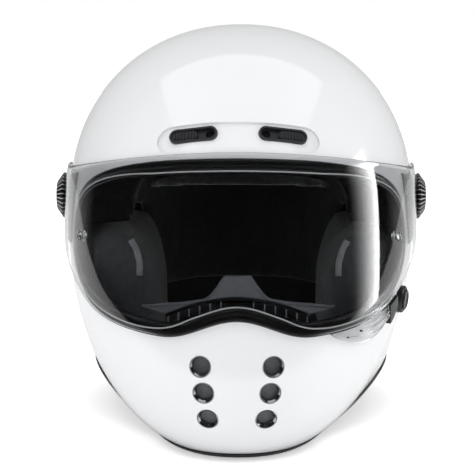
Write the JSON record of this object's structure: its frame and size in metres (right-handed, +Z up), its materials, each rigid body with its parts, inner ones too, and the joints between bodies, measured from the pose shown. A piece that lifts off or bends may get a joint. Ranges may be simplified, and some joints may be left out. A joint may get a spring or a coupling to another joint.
{
  "type": "motorcycle helmet",
  "caption": "Full-face motorcycle helmet with a clear flip-up visor, pivot covers, brow and chin vents, padded lining and a double D-ring chin strap.",
  "frame": {"origin": "on the plane the helmet stands on, below the middle of its bounding box", "axes": "+Z up, chin towards -Y, the wearer's left side towards +X"},
  "size_m": [0.265, 0.3283, 0.2723],
  "materials": {
    "shell_white": "gloss lacquer over white moulded shell",
    "rubber_black": "satin moulded rubber",
    "foam_black": "moulded bead foam, black",
    "cloth_black": "smooth knitted lining",
    "cloth_grey": "dark grey knitted cloth",
    "clear_plastic": "clear moulded polycarbonate, polished",
    "plastic_black": "fine moulded satin",
    "plastic_dark": "moulded satin",
    "cover_black": "gloss with bright slits",
    "steel_bright": "bright turned",
    "mesh_grey": "woven wire",
    "leather_grey": "fine grained leathercloth",
    "webbing_black": "woven webbing"
  },
  "bodies": {
    "helmet": {"outer_shell": "shell_white", "eyeport_gasket": "rubber_black", "bottom_trim": "rubber_black", "crown_liner": "foam_black", "chin_liner": "foam_black", "crown_lining": "cloth_black", "brow_pad": "cloth_black", "cheek_pad_left": "cloth_grey", "cheek_pad_right": "cloth_grey", "neck_roll": "cloth_grey", "pivot_cover_left": "cover_black", "pivot_cover_right": "cover_black", "pivot_plate_left": "plastic_dark", "pivot_plate_right": "plastic_dark", "detent_plungers": "steel_bright", "plate_screws": "steel_bright", "lock_collar": "plastic_black", "chin_port_rims": "steel_bright", "chin_port_meshes": "mesh_grey", "exhaust_rims": "steel_bright", "exhaust_meshes": "mesh_grey", "brow_vent_frames": "plastic_black", "chin_vent_strip": "plastic_black", "breath_deflector": "leather_grey", "strap_left": "webbing_black", "strap_right": "webbing_black", "strap_anchors": "steel_bright", "strap_rivets": "steel_bright", "pad_snaps": "plastic_black"},
    "visor": {"visor": "clear_plastic", "finger_tab": "clear_plastic", "lock_hook": "plastic_black"},
    "insert_pin_left": {"insert_pin_left": "clear_plastic"},
    "insert_pin_right": {"insert_pin_right": "clear_plastic"},
    "lock_button": {"lock_button": "plastic_black"},
    "brow_slider_left": {"brow_slider_left": "plastic_black"},
    "brow_slider_right": {"brow_slider_right": "plastic_black"},
    "d_rings": {"d_rings": "steel_bright"}
  },
  "joints": [
    {"name": "visor_hinge", "type": "hinge", "parent": "helmet", "child": "visor", "pos_m": [0, 0.0053, 0.15], "axis": [-1, 0, 0], "range_deg": [0, 72]},
    {"name": "insert_pin_left_turn", "type": "hinge", "parent": "visor", "child": "insert_pin_left", "pos_m": [0.10292, -0.08354, 0.1355], "axis": [0.8721, -0.469, 0.1396], "range_deg": [0, 180]},
    {"name": "insert_pin_right_turn", "type": "hinge", "parent": "visor", "child": "insert_pin_right", "pos_m": [-0.10292, -0.08354, 0.1355], "axis": [-0.8721, -0.469, 0.1396], "range_deg": [0, 180]},
    {"name": "lock_button_push", "type": "slide", "parent": "helmet", "child": "lock_button", "axis": [-0.9435, 0.3229, 0.0748], "range_m": [0, 0.002], "stiffness_N_per_m": 500, "springref_m": -0.001},
    {"name": "brow_slider_left_slide", "type": "slide", "parent": "helmet", "child": "brow_slider_left", "axis": [-0.975, -0.1802, 0.1297], "range_m": [0, 0.008]},
    {"name": "brow_slider_right_slide", "type": "slide", "parent": "helmet", "child": "brow_slider_right", "axis": [0.975, -0.1802, 0.1297], "range_m": [0, 0.008]},
    {"name": "d_rings_swing", "type": "hinge", "parent": "helmet", "child": "d_rings", "pos_m": [0.066, 0.0103, 0.0062], "axis": [0, 1, 0], "range_deg": [0, 70]}
  ]
}
